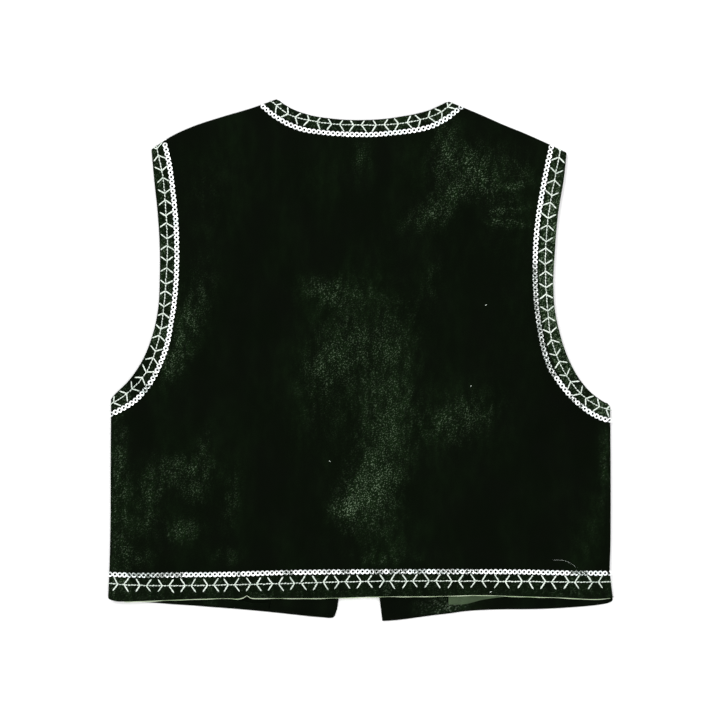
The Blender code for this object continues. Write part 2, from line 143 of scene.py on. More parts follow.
# Ovals on the cloth: columns x, y, direction in degrees, half length, half width, strength, the lengths in
# mm. Strength is a height in mm in the first two tables. In the third it is how far the nap lies back,
# used as painted sheen: the pile is coloured lighter where it would catch the light. Its narrow ovals
# beside the creases paint highlights on their lit sides, and negative ones take sheen away.
FOLDS = (
    (20, 20, -58, 85, 30, 0.8), (15, -115, 84, 70, 26, 1), (90, 140, -66, 55, 24, 0.7),
    (-155, -115, 72, 60, 22, 0.7), (-120, 50, 80, 70, 24, -0.5), (-50, -60, 70, 80, 24, -0.5),
    (120, -70, 62, 70, 26, -0.5), (115, -205, 2, 40, 12, 0.6),
)
CREASES = (
    (133, 158.5, 22, 24, 2.8, 0.6), (130, 142, 16, 26, 3, 0.7), (135, 122.5, 4, 22, 2.6, 0.6),
    (139, 113, -8, 16, 2.4, 0.5), (148, 68, 38, 14, 2.4, 0.4), (-150, 20, 62, 34, 3.4, 0.6),
    (-140, 36, 66, 26, 3, 0.4), (-162, -12, 55, 18, 2.8, 0.4), (-130, 165, 58, 20, 3.4, 0.4),
    (-140, -75, 84, 22, 3.2, 0.4), (-188, -130, 80, 34, 3.4, 0.5), (-111, -130, 86, 30, 3.2, 0.4),
    (48, -15, 74, 30, 4, 0.4),
)
BRUSHED_AND_SHEEN = (
    (8, -118, 50, 34, 20, 0.8), (-8, -131, 10, 18, 9, 0.44), (24, -65, 72, 40, 18, 0.38),
    (28, 0, 82, 40, 16, 0.26), (6, 15, 30, 26, 14, 0.16), (-26, 0, 40, 22, 12, 0.26),
    (-30, 62, -8, 32, 12, 0.4), (64, 74, 82, 28, 10, 0.18), (88, -50, 24, 32, 20, 0.22),
    (24, -156, 80, 28, 26, 0.24), (26, -179, 0, 36, 7, 0.26), (76, 192, 82, 26, 10, 0.42),
    (103, 172, -52, 22, 12, 0.5), (84, 150, 50, 14, 9, 0.36), (60, 129, 20, 26, 13, 0.38),
    (140, 176, -40, 30, 16, 0.18), (136, 156, 12, 14, 2.8, 0.5), (130, 134.5, 8, 20, 2.6, 0.44),
    (130, 123.5, -6, 22, 2.8, 0.44), (100, 127, 0, 12, 14, -0.3), (-157, 27, 68, 40, 13, 0.33),
    (-169, -2, 60, 22, 10, 0.34), (-204, -16, 46, 40, 12, -0.26), (-158, -100, 4, 26, 14, 0.42),
    (-147, -121, 0, 10, 9, 0.28), (-193, -128, 80, 36, 12, 0.38), (-140, -76, 86, 18, 7, 0.28),
    (-161, -154, 0, 16, 11, 0.46), (-115, -124, 82, 30, 9, 0.3), (-198, -179, 0, 18, 9, 0.3),
    (-120, -177, 0, 16, 9, 0.32), (-218, -120, 90, 110, 10, 0.46), (207, -153, 70, 50, 20, 0.2),
    (219, -82, 90, 34, 5, 0.4), (1, 182, 84, 20, 10, 0.3), (179, 70, 90, 55, 7, 1.1),
    (198, -24, 48, 40, 14, -0.5), (178, 170, 80, 24, 10, -0.3), (88, -54, 20, 28, 16, 0.12),
    (10, -15, 75, 100, 50, 0.24), (-30, 6, 70, 70, 30, 0.24), (90, -56, 20, 46, 34, 0.17),
    (105, 156, -40, 64, 40, 0.28), (-150, 60, 75, 80, 26, 0.18), (-160, -125, 82, 60, 44, 0.12),
    (-142, 160, 60, 44, 30, 0.14), (145, 40, 80, 80, 40, 0.08), (-40, 165, 10, 50, 30, 0.1),
)
# Painted sheen along each trimmed margin, where the pile lies back and catches the light.
BAND_NAP_AND_SHEEN = (("neck", 0.4), ("armhole_left", 0.42), ("armhole_right", 0.84), ("hem", 0.28))
# Colours of the pile: standing, lying back and its brightest grains. The lying back colour is painted
# sheen, and the brightest grains are painted glints.
GREEN = ((0.0014, 0.0024, 0.0011, 1), (0.0048, 0.012, 0.0036, 1), (0.083, 0.119, 0.073, 1))
WORN_GREEN = (0.0016, 0.0024, 0.0013, 1)


def curve(points, count=24):
    """A smooth line through the points, as a function of the share of its length.

    Between two points it is a cubic whose ends take the length-weighted mean of the slopes beside them.
    """
    p = np.array(points, float)
    step = np.linalg.norm(np.diff(p, axis=0), axis=1)[:, None]
    slope = np.diff(p, axis=0) / step
    inner = (slope[:-1] * step[1:] + slope[1:] * step[:-1]) / (step[1:] + step[:-1])
    tangent = np.vstack([slope[:1], inner, slope[-1:]])
    t = np.linspace(0, 1, count, endpoint=False)[None, :, None]
    a, b = p[:-1, None], p[1:, None]
    m, n = (tangent[:-1] * step)[:, None], (tangent[1:] * step)[:, None]
    dense = a * (2 * t**3 - 3 * t**2 + 1) + m * (t**3 - 2 * t**2 + t)
    dense = dense + b * (3 * t**2 - 2 * t**3) + n * (t**3 - t**2)
    dense = np.vstack([dense.reshape(-1, 2), p[-1:]])
    run = np.concatenate([[0], np.cumsum(np.linalg.norm(np.diff(dense, axis=0), axis=1))])

    def at(share):
        return np.stack([np.interp(np.asarray(share) * run[-1], run, dense[:, k]) for k in (0, 1)], -1)

    return at


def drawn(table):
    """The smooth line through a table's points."""
    return curve(np.array(table) / 1000)


def unit(ways):
    """Each direction over its length."""
    return ways / np.linalg.norm(ways, axis=-1)[..., None]


def left_of(ways):
    """Each direction turned a quarter left in plan."""
    return np.stack([-ways[..., 1], ways[..., 0]], axis=-1)


def by_x(line):
    """The same line, as a function of the share of its run from side to side, by interpolation."""
    points = line(np.linspace(0, 1, 400))
    x = points[:, 0]
    way = np.sign(x[-1] - x[0])

    def at(share):
        place = x[0] + (x[-1] - x[0]) * np.asarray(share)
        return np.stack([place, np.interp(way * place, way * x, points[:, 1])], axis=-1)

    return at


def chain(curves, joints):
    """Several lines as one: each fills its own range of the share, and they meet at the joints."""
    ends = np.concatenate([[0], np.atleast_1d(joints), [1]])

    def at(share):
        share = np.asarray(share, float)
        which = np.clip(np.searchsorted(ends, share, side="right") - 1, 0, len(curves) - 1)
        found = np.empty(share.shape + (2,))
        for k, one in enumerate(curves):
            found[which == k] = one((share[which == k] - ends[k]) / (ends[k + 1] - ends[k]))
        return found

    return at


def panel(bottom, top, left, right, across, up):
    """Grid over the flat shape between four lines, a transfinite patch.

    Each point is the blend of bottom and top plus the blend of left and right, less that of the corners.
    """
    u, v = across[None, :, None], up[:, None, None]
    low, high = bottom(across)[None], top(across)[None]
    west, east = left(up)[:, None], right(up)[:, None]
    corners = (1 - v) * ((1 - u) * low[:, :1] + u * low[:, -1:]) + v * (
        (1 - u) * high[:, :1] + u * high[:, -1:]
    )
    return (1 - v) * low + v * high + (1 - u) * west + u * east - corners


def feet(points, a, run):
    """Distance from each point to each straight run, and the share of the run that lies nearest."""
    offset = points[..., None, :] - a
    share = np.clip((offset * run).sum(-1) / (run * run).sum(-1), 0, 1)
    return np.linalg.norm(offset - share[..., None] * run, axis=-1), share


def measure(points, line, count=72):
    """Distance from each point to a line and the length along it of the nearest place.

    The line is cut into straight runs, and each point takes the nearest foot of a perpendicular.
    """
    ends = line(np.linspace(0, 1, count))
    a, run = ends[:-1], np.diff(ends, axis=0)
    length = np.linalg.norm(run, axis=1)
    apart, share = feet(points, a, run)
    nearest = apart.argmin(-1)[..., None]
    along = np.concatenate([[0], np.cumsum(length)[:-1]]) + share * length
    return np.take_along_axis(apart, nearest, -1)[..., 0], np.take_along_axis(along, nearest, -1)[..., 0]


def step_up(x):
    """0 to 1 with level ends: three times x squared less twice x cubed."""
    x = np.clip(x, 0, 1)
    return x * x * (3 - 2 * x)


def quarter_turn(inset, radius):
    """Height of a quarter circle over its radius, from 0 at the seam to 1 at the radius from it."""
    return np.sqrt(1 - (1 - np.clip(inset / radius, 0, 1)) ** 2)


def ovals(xy, table):
    """Sum of the table's ovals: strength times a bell curve along and across its direction."""
    total = np.zeros(xy.shape[:-1])
    table = np.array(table) / (1000, 1000, 1, 1000, 1000, 1)
    for x, y, degrees, half_length, half_width, strength in table:
        turn = np.radians(degrees)
        dx, dy = xy[..., 0] - x, xy[..., 1] - y
        along = (dx * np.cos(turn) + dy * np.sin(turn)) / half_length
        across = (dy * np.cos(turn) - dx * np.sin(turn)) / half_width
        total += strength * np.exp(-(along**2) - across**2)
    return total


def rumple(xy, seed, height, shortest=0.016, longest=0.055, waves=12):
    """Small unevenness of laid cloth: sines in scattered directions, lengths and phases, summed."""
    draw = np.random.default_rng(seed)
    turn = draw.uniform(0, np.pi, waves)
    number = 2 * np.pi / draw.uniform(shortest, longest, waves)
    phase = draw.uniform(0, 2 * np.pi, waves)
    way = xy[..., :1] * np.cos(turn) + xy[..., 1:] * np.sin(turn)
    return height * np.sin(way * number + phase).sum(-1) / np.sqrt(waves)


def grid_shares(size, start_roll, end_roll, joints=()):
    """Shares of a size where grid lines lie: on the quarter turns, close in the margins, wider between."""
    turns = 1 - np.cos(np.radians(np.arange(15, 91, 15)))

    def margin(roll):
        turned = np.concatenate([[0], roll * turns]) if roll else np.zeros(1)
        return np.concatenate([turned, np.arange(turned[-1] + MARGIN_STEP, MARGIN, MARGIN_STEP)])

    start, end = margin(start_roll), margin(end_roll)
    room = size - start[-1] - end[-1]
    middle = start[-1] + np.linspace(0, room, int(room / MIDDLE_STEP))[1:-1]
    shares = np.concatenate([start, middle, size - end[::-1]]) / size
    for joint in joints:
        shares[np.abs(shares - joint).argmin()] = joint
    return shares


def kinked(line):
    """The back hem with its one small kink: a slight dip, then a peak shaped as a narrow bell curve."""

    def at(share):
        points = line(share)
        for x, width, rise in np.array(HEM_KINK) / 1000:
            points[..., 1] += rise * np.exp(-(((points[..., 0] - x) / width) ** 2))
        return points

    return at


back_hem = kinked(by_x(drawn(BACK_HEM)))
side_left, side_right = drawn(SIDE_LEFT), drawn(SIDE_RIGHT)
armhole_left, armhole_right = drawn(ARMHOLE_LEFT), drawn(ARMHOLE_RIGHT)
shoulder_left, shoulder_right = drawn(SHOULDER_LEFT), drawn(SHOULDER_RIGHT)
neck = drawn(NECK)
SEAMS = (side_left, side_right, shoulder_left, shoulder_right)
TRIMMED = {"neck": neck, "armhole_left": armhole_left, "armhole_right": armhole_right, "hem": back_hem}
sequin_lines = {name: drawn(points) for name, points in SEQUIN_ROWS.items()}
stitch_lines = {name: drawn(points) for name, points in STITCH_ROWS.items()}


def seam_inset(xy):
    """Distance to the nearest side or shoulder seam."""
    return np.min([measure(xy, seam)[0] for seam in SEAMS], axis=0)


def puckers(xy):
    """Relief along the trims: a trough under the sequins and a ripple once for each stitched motif."""
    total = np.zeros(xy.shape[:-1])
    for name, edge in TRIMMED.items():
        inset, along = measure(xy, edge)
        sewn = np.exp(-((measure(xy, sequin_lines[name])[0] / TROUGH_REACH) ** 2))
        band = step_up(inset / TRIM_FADE) * step_up((TRIM_WIDTH[name] - inset) / RIPPLE_FADE + 1)
        total += RIPPLE * band * np.cos(2 * np.pi * along / MOTIF) - TROUGH * sewn
    return total


def back_height(xy):
    """Height of the velvet: its level, swell, folds and creases, over the quarter turn to the seams."""
    seam = seam_inset(xy)
    free = np.min([measure(xy, edge)[0] for edge in (armhole_left, armhole_right, neck)], axis=0)
    inset = np.minimum(seam, free)
    hem = measure(xy, back_hem)[0]
    calm = step_up(inset / CREASE_FADE) * step_up(hem / CREASE_FADE)
    laid = (
        BACK_TOP
        + SWELL * step_up(np.minimum(inset, hem) / SWELL_REACH)
        + 0.001 * ovals(xy, FOLDS) * step_up(inset / FOLD_FADE)
        - EDGE_DROP * (1 - step_up(free / EDGE_REACH))
        + calm * (0.001 * ovals(xy, CREASES) + rumple(xy, 3, RUMPLE))
        + puckers(xy)
    )
    return BACK_SEAM + (laid - BACK_SEAM) * quarter_turn(seam, SIDE_REACH)


def normals_of(grid, faces_up):
    """Unit normals: the cross product of the grid's two slopes, level where the grid ends on a seam."""
    across, up = np.gradient(grid, axis=1), np.gradient(grid, axis=0)
    normals = np.cross(across, up) * (1 if faces_up else -1)
    border = np.ones(grid.shape[:2], bool)
    border[1:-1, 1:-1] = False
    seam = border & (seam_inset(grid[..., :2]) < ON_SEAM)
    level = lifted(left_of(up), 0.0)
    level[:, -1] *= -1
    level[-1] = lifted(left_of(across[-1]), 0.0)
    normals[seam] = level[seam]
    return unit(normals), seam


def placed(name, data):
    """A new object with its data, in the scene."""
    made = bpy.data.objects.new(name, data)
    bpy.context.scene.collection.objects.link(made)
    return made


def piece(name, points, faces, look, slot, node=None, smooth=True, **values):
    """An object from arrays of points and faces, with one named number per point for each of values.

    It takes its finish from the look, and replaces the CAD node where one is named. The slot is not used.
    """
    mesh = bpy.data.meshes.new(name)
    mesh.from_pydata(points.reshape(-1, 3).tolist(), [], faces.tolist())
    if smooth:
        mesh.shade_smooth()
    for key, numbers in values.items():
        mesh.attributes.new(key, "FLOAT", "POINT").data.foreach_set("value", numbers.ravel().astype("f"))
    mesh.materials.append(look)
    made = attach(placed(name, mesh), "root")
    if node:
        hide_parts(node)
    return made


def grid_faces(rows, columns):
    """Quads of a grid whose points run along its rows."""
    place = np.arange(rows * columns).reshape(rows, columns)
    return np.stack([place[:-1, :-1], place[:-1, 1:], place[1:, 1:], place[1:, :-1]], -1).reshape(-1, 4)


def cloth(name, outer, thickness, look, slot, node, faces_up=True, edge=SOFT_EDGE, **values):
    """A closed wall of cloth with a rounded rim.

    The inner points are the outer ones moved in along their normals. Round the rim, three rows follow
    half an ellipse from one to the other, as high as the cloth is thick and pushed out by the edge.
    """
    rows, columns = outer.shape[:2]
    normals, seam = normals_of(outer, faces_up)
    inner = outer - thickness * normals
    place = np.arange(rows * columns).reshape(rows, columns)
    rim = np.concatenate([place[0], place[1:, -1], place[-1, -2::-1], place[-2:0:-1, 0]])
    at, facing = outer.reshape(-1, 3)[rim], normals.reshape(-1, 3)[rim]
    forward = np.roll(at, -1, axis=0) - np.roll(at, 1, axis=0)
    outward = unit(np.cross(forward, facing) * (1 if faces_up else -1))
    reach = np.where(seam.ravel()[rim], SEAM_EDGE, edge)[:, None]
    turns = np.radians((45, 90, 135))[:, None, None]
    middle = at - facing * thickness / 2
    round_rim = middle + facing * thickness / 2 * np.cos(turns) + outward * reach * np.sin(turns)
    points = np.concatenate([outer.reshape(-1, 3), inner.reshape(-1, 3), round_rim.reshape(-1, 3)])
    size = rows * columns
    loops = [rim] + [2 * size + k * len(rim) + np.arange(len(rim)) for k in range(3)] + [rim + size]
    quads = grid_faces(rows, columns)
    strips = [np.stack([a, b, np.roll(b, -1), np.roll(a, -1)], -1) for a, b in zip(loops, loops[1:])]
    faces = np.concatenate([quads, quads[:, ::-1] + size, *strips])
    if not faces_up:
        faces = faces[:, ::-1]
    flat = {key: numbers.ravel() for key, numbers in values.items()}
    full = {key: np.concatenate([numbers] * 2 + [numbers[rim]] * 3) for key, numbers in flat.items()}
    return piece(name, points, faces, look, slot, node, **full)


def lifted(xy, height):
    """Plan points with their height, an array or one number, as the third coordinate."""
    return np.concatenate([xy, np.broadcast_to(height, xy.shape[:-1])[..., None]], axis=-1)


class Signal:
    """One output of a material's nodes. Arithmetic on it adds Math nodes."""

    def __init__(self, tree, socket=None):
        self.tree = tree
        self.socket = socket

    def node(self, kind, settings=None, inputs=None, output=0):
        """Adds a node of any kind, with its settings made first and then its inputs set or linked."""
        made = self.tree.nodes.new(kind)
        for name, value in (settings or {}).items():
            setattr(made, name, value)
        for name, value in (inputs or {}).items():
            if isinstance(value, Signal):
                self.tree.links.new(value.socket, made.inputs[name])
            else:
                made.inputs[name].default_value = value
        return Signal(self.tree, made.outputs[output])

    def math(self, operation, first, second):
        return self.node("ShaderNodeMath", {"operation": operation}, {0: first, 1: second})

    def __add__(self, other):
        return self.math("ADD", self, other)

    def __mul__(self, other):
        return self.math("MULTIPLY", self, other)

    def __sub__(self, other):
        return self.math("SUBTRACT", self, other)

    def __rsub__(self, other):
        return self.math("SUBTRACT", other, self)

    __radd__ = __add__
    __rmul__ = __mul__

    def between(self, low, high):
        """0 at low and 1 at high, with a smooth step between."""
        ends = {"Value": self, "From Min": low, "From Max": high}
        return self.node("ShaderNodeMapRange", {"interpolation_type": "SMOOTHSTEP"}, ends)

    def blend(self, first, second):
        """A colour that goes from the first to the second as this goes from 0 to 1."""
        colours = {"Factor": self, 6: first, 7: second}
        return self.node("ShaderNodeMix", {"data_type": "RGBA"}, colours, output=2)


def new_look(name, fixed):
    """A material, its object coordinates to build on, and its shader with the fixed numbers set."""
    material = bpy.data.materials.new(name)
    material.use_nodes = True
    shader = material.node_tree.nodes["Principled BSDF"]
    for socket, number in fixed.items():
        shader.inputs[socket].default_value = number
    return material, Signal(material.node_tree).node("ShaderNodeTexCoord", output="Object"), shader


def feed(shader, socket, signal):
    signal.tree.links.new(signal.socket, shader.inputs[socket])


def noise(place, scale, detail=2.0, roughness=0.5):
    values = {"Vector": place, "Scale": scale, "Detail": detail, "Roughness": roughness}
    return place.node("ShaderNodeTexNoise", inputs=values)


def bump(strength, distance, height):
    """The normal that a height signal gives."""
    values = {"Strength": strength, "Distance": distance, "Height": height}
    return height.node("ShaderNodeBump", inputs=values)


def velvet(name, dark, lit, glint):
    """Velvet: the pile swallows light where it stands, and where it lies brushed back its green is painted
    lighter, as painted sheen.

    The nap and sheen number of each point, broken up by noise from 1 mm to 30 mm, moves the colour from
    dark to lit, a painted sheen, and its brightest grains, combed one way, to glint, which are painted
    glints. A fine noise tips the pile for the bump.
    """
    pile = {"Roughness": 0.9, "Specular IOR Level": 0.015, "Sheen Weight": 0.12, "Sheen Roughness": 0.25}
    material, place, shader = new_look(name, {**pile, "Sheen Tint": (0.55, 0.85, 0.5, 1)})
    upright = place.node("ShaderNodeMapping", inputs={"Vector": place, "Scale": (1.0, 0.42, 1.0)})
    nap = place.node("ShaderNodeAttribute", {"attribute_name": "nap"}, output="Fac")
    broad = noise(upright, 38.0)
    patchy = noise(upright, 150.0, 3.0, 0.6)
    comb = {"Vector": place, "Rotation": (0.0, 0.0, 0.65), "Scale": (1.7, 1.0, 1.0)}
    combed = place.node("ShaderNodeMapping", {"vector_type": "TEXTURE"}, comb)
    grain = noise(combed, 950.0, 2.0, 0.65)
    speck = noise(combed, 1250.0, 0.0)
    # Painted sheen and glints: where the pile lies back the base colour is painted lighter, as if it
    # caught the light, with a random haze of the same, and its brightest grains are painted glints.
    lying_sheen = nap * (0.55 + 0.9 * patchy.between(0.32, 0.68))
    haze = broad.between(0.35, 0.75) * patchy
    amount = 0.11 + 0.34 * haze + lying_sheen * (0.35 + 0.9 * grain.between(0.4, 0.66))
    glinting = lying_sheen.between(0.12, 1.1) * (speck + 0.13 * lying_sheen.between(0.9, 2.0)).between(0.595, 0.72)
    standing = noise(place, 30.0).between(0.4, 0.62).blend(dark, WORN_GREEN)
    feed(shader, "Base Color", glinting.blend(amount.between(0.0, 1.1).blend(standing, lit), glint))
    feed(shader, "Normal", bump(0.35, 0.0006, grain + 0.5 * patchy))
    return material


def back_nap(xy):
    """How far the nap lies back, shown as painted sheen: the brushed and sheen ovals, and each trimmed
    margin between edge and sequins.
    """
    total = ovals(xy, BRUSHED_AND_SHEEN)
    for name, strength in BAND_NAP_AND_SHEEN:
        inset = measure(xy, TRIMMED[name])[0]
        total += strength * step_up((TRIM_WIDTH[name] - inset) / TRIM_FADE)
    return total


back_plan = panel(
    back_hem,
    chain((shoulder_left, neck, shoulder_right), SHOULDER_JOINTS),
    chain((side_left, armhole_left), UNDERARM_JOINT),
    chain((side_right, armhole_right), UNDERARM_JOINT),
    grid_shares(BACK_CUT[0], SIDE_REACH, SIDE_REACH, SHOULDER_JOINTS),
    grid_shares(GRID_LENGTH, 0, SIDE_REACH, (UNDERARM_JOINT,)),
)
back_velvet = cloth(
    "back_velvet", lifted(back_plan, back_height(back_plan)), VELVET, velvet("green_velvet", *GREEN),
    "velvet", "back_panel", nap=back_nap(back_plan),
)

# Fronts. Two pieces of the same velvet, sewn to the back at the side and the shoulder. They lie face
# down, with their armholes cut deeper than the back's and an open edge from hem to neck.
FRONT_LEVEL = 0.0004
FRONT_SEAM = BACK_SEAM - 0.0003
FRONT_ROLL = FRONT_SEAM - FRONT_LEVEL
FRONT_VELVET = 0.0013
FRONT_ARMHOLE_CUT = 0.005
FRONT_HEM = 0.205
# Painted sheen on the fronts: ovals of how far the nap lies back, shown lighter as if catching the light.
FRONT_NAP_AND_SHEEN = (
    (-70, -140, 60, 50, 24, 0.7), (-150, -30, 72, 60, 20, 0.5), (-90, 120, 64, 50, 20, 0.45),
    (90, -120, 110, 60, 22, 0.65), (160, -50, 95, 50, 20, 0.45), (100, 130, 120, 50, 18, 0.5),
)
# Lines of the fronts' own: columns x, y in mm
FRONTS = {
    "left": {
        "hem": (
            (-227.4, -212.5), (-226.2, -215.2), (-221.8, -216.8), (-212, -217.5), (-190, -218.6),
            (-169.2, -220.2), (-151.2, -221.3), (-133.2, -222.7), (-115.2, -224), (-97.2, -225.5),
            (-79.2, -227.2), (-61.2, -229.1), (-43.2, -231), (-33, -231.8), (-27, -232.2), (-24.6, -231.8),
            (-23.6, -230.5),
        ),
        "edge": ((-23.6, -230.5), (-22, -226.2), (-20, -214.5), (-11, -80), (-3.5, 65)),
        "neck": ((-3.5, 65), (-18.5, 115), (-45, 170), (-75.7, 235)),
        "side": side_left,
        "armhole": armhole_left,
        "shoulder": shoulder_left,
        "inward": 1,
    },
    "right": {
        "hem": (
            (227.4, -214.1), (226.8, -217.2), (223, -219.3), (217.8, -220.3), (205, -221.9), (190.8, -223),
            (177.3, -223.8), (159.3, -224.5), (125, -224.8), (105.3, -225.5), (91.8, -226.6),
            (82.8, -227.9), (64.8, -230), (51.3, -231.8), (37.8, -233.6), (28.8, -234.5), (20, -235),
        ),
        "edge": ((20, -235), (17.6, -214.5), (10.5, -80), (3.5, 65)),
        "neck": ((3.5, 65), (19.5, 115), (47, 170), (79.7, 232.8)),
        "side": side_right,
        "armhole": armhole_right,
        "shoulder": shoulder_right,
        "inward": -1,
    },
}


def deeper(armhole, inward):
    """A front's armhole: the back's, moved towards the middle by a squared half sine wave."""

    def at(share):
        points = armhole(share)
        points[..., 0] += inward * FRONT_ARMHOLE_CUT * np.sin(np.pi * np.asarray(share)) ** 2
        return points

    return at


def outline_of(*lines):
    """A closed outline along lines, each with the shares of it where the outline joins and leaves."""
    runs = [line(np.linspace(join, leave, 60, endpoint=False)) for line, join, leave in lines]
    return np.concatenate(runs)


def front_height(xy):
    """Height of a front's velvet side: level, but for the quarter turn up to its seams."""
    return FRONT_SEAM - FRONT_ROLL * quarter_turn(seam_inset(xy), FRONT_ROLL)


front_look = velvet("front_velvet", *GREEN)
for side_name, cut in FRONTS.items():
    cut["hem"], cut["edge"], cut["neck"] = by_x(drawn(cut["hem"])), drawn(cut["edge"]), drawn(cut["neck"])
    cut["armhole"] = deeper(cut["armhole"], cut["inward"])
    shoulder_way = (0, 1) if cut["inward"] > 0 else (1, 0)
    cut["outline"] = outline_of(
        (cut["hem"], 1, 0), (cut["side"], 0, 1), (cut["armhole"], 0, 1), (cut["shoulder"], *shoulder_way),
        (cut["neck"], 1, 0), (cut["edge"], 1, 0),
    )
    outside = chain((cut["side"], cut["armhole"]), UNDERARM_JOINT)
    inside = chain((cut["edge"], cut["neck"]), UNDERARM_JOINT)
    across = grid_shares(FRONT_HEM, FRONT_ROLL, 0)
    up = grid_shares(GRID_LENGTH, 0, FRONT_ROLL, (UNDERARM_JOINT,))
    if cut["inward"] > 0:
        plan = panel(cut["hem"], cut["shoulder"], outside, inside, across, up)
    else:
        turned = 1 - across[::-1]
        plan = panel(lambda share: cut["hem"](1 - share), cut["shoulder"], inside, outside, turned, up)
    cloth(
        "front_velvet_" + side_name, lifted(plan, front_height(plan)), FRONT_VELVET, front_look,
        "velvet", "front_" + side_name, faces_up=False, nap=ovals(plan, FRONT_NAP_AND_SHEEN),
    )

# Facings and turned hems. A strip of the same velvet lines each open front edge, and beside it the
# front's own velvet turns up inside along the hem. Both are slip-stitched to the front's inner side.
INNER_BOTTOM = 0.0018
INNER_CLOTH = 0.001
FACING_WIDTH = 0.058
# Width of a turned hem: columns distance from the facing, width in mm
TURNED_HEM = ((0, 6.6), (15, 5), (30, 7.7), (55, 10.3), (145, 10.6))
INNER_INSET = 0.0012
INNER_EDGE = INNER_INSET / 4
INNER_GAP = 0.0003
SIDE_CLEARANCE = 0.006
SIDE_AT = 0.2274
FACING_STEPS = 120
FACING_ACROSS = 22

# The facing's velvet colours: standing, lying back as painted sheen, and painted glints.
facing_look = velvet(
    "facing_velvet", (0.0013, 0.0021, 0.0011, 1), (0.0046, 0.0108, 0.0036, 1), (0.092, 0.122, 0.084, 1)
)
# Painted sheen on the facings and turned hems: how far their nap lies back, shown lighter.
TURNED_HEM_NAP_AND_SHEEN = 0.06
FACING_NAP_AND_SHEEN = {
    "left": ((-50, -218, 0, 30, 6, 0.1), (-130, -216, 0, 40, 6, 0.22)),
    "right": ((74, -223, 0, 22, 12, 0.8), (40, -100, 80, 80, 20, 0.5)),
}


def between_lines(first, second, count):
    """Grid of plan points whose rows run straight from the first line's points to the second's."""
    share = np.linspace(0, 1, count)[:, None, None]
    return (1 - share) * first + share * second


def hem_line(cut):
    """A front's hem as a height for each x, moved in by the inset."""
    points = cut["hem"](np.linspace(0, 1, 240))
    order = np.argsort(points[:, 0])
    return lambda x: np.interp(x, points[order, 0], points[order, 1]) + INNER_INSET


def inner_cloth(name, plan, look, slot, node, wave=RUMPLE, **values):
    """A thin inner cloth laid at its level, with a slight unevenness on top and a flat underside."""
    if np.cross(plan[0, -1] - plan[0, 0], plan[-1, 0] - plan[0, 0]) < 0:
        plan = plan[::-1]
        values = {key: numbers[::-1] for key, numbers in values.items()}
    level = INNER_BOTTOM + INNER_CLOTH + np.minimum(rumple(plan, 8, wave), 0)
    return cloth(name, lifted(plan, level), INNER_CLOTH, look, slot, node, edge=INNER_EDGE, **values)


turned_hems, facings = {}, {}
for side_name, cut in FRONTS.items():
    away = -cut["inward"]
    near = cut["edge"](np.linspace(0, 1, FACING_STEPS)) + [away * INNER_INSET, 0]
    near[0, 1] += INNER_INSET
    far = near + [away * FACING_WIDTH, 0]
    top, corner = near[-1, 1], hem_line(cut)(far[0, 0])
    far[:, 1] = top - (top - near[:, 1]) * (top - corner) / (top - near[0, 1])
    plan = between_lines(near, far, FACING_ACROSS)
    facings[side_name] = inner_cloth(
        "facing_" + side_name, plan, facing_look, "facing_velvet", "front_facing_" + side_name,
        nap=ovals(plan, FACING_NAP_AND_SHEEN[side_name]),
    )
    x = np.linspace(far[0, 0] + away * INNER_GAP, away * (SIDE_AT - SIDE_CLEARANCE), 90)
    low = np.stack([x, hem_line(cut)(x)], axis=-1)
    widths = drawn(TURNED_HEM)(np.linspace(0, 1, 200))
    cut["hem_top"] = low + np.stack([0 * x, np.interp(np.abs(x - x[0]), *widths.T)], axis=-1)
    plan = between_lines(low, cut["hem_top"], 8)
    turned_hems[side_name] = inner_cloth(
        "hem_turned_up_" + side_name, plan, facing_look, "facing_velvet", "turned_hem_" + side_name,
        nap=TURNED_HEM_NAP_AND_SHEEN + ovals(plan, FACING_NAP_AND_SHEEN[side_name]),
    )

# Lining. A light green satin-faced cotton, seen above the right front's turned hem, and as a fine edge
# that stands past the back hem all along. It is hemmed to the velvet by hand.
LINING_SHOWN = 0.08
HEM_LINING_BOTTOM = 0.0031
HEM_LINING_PROUD = 0.0011
HEM_LINING_DEPTH = 0.012
HEM_LINING_ENDS = (0.033, 0.994)


def woven(name, thread, shade, weave=0.00045, uneven=0.25):
    """Plain fine weave: two sine ridges that cross make the bump, and noise varies the colour."""
    fixed = {"Roughness": 0.62, "Specular IOR Level": 0.2, "Sheen Weight": 0.1, "Sheen Roughness": 0.4}
    material, place, shader = new_look(name, fixed)
    turns = [place.node("ShaderNodeSeparateXYZ", inputs={0: place}, output=axis) for axis in "XY"]
    over, under = (place.math("SINE", turn * (2 * np.pi / weave), 0.0) for turn in turns)
    soft = noise(place, 90.0, 3.0)
    slub = noise(place, 900.0)
    amount = soft.between(0.3, 0.72) * (1 - uneven) + slub * uneven
    feed(shader, "Base Color", amount.blend(shade, thread))
    feed(shader, "Normal", bump(0.4, 0.0003, over * under * 0.25 + slub * 0.5))
    return material


lining_look = woven("green_lining", (0.048, 0.081, 0.035, 1), (0.028, 0.048, 0.021, 1))
low = FRONTS["right"]["hem_top"] + [0, INNER_GAP]
plan = between_lines(low, low + [0, LINING_SHOWN], 30)
front_lining = inner_cloth("front_lining", plan, lining_look, "lining", "front_lining_right", wave=0.00025)

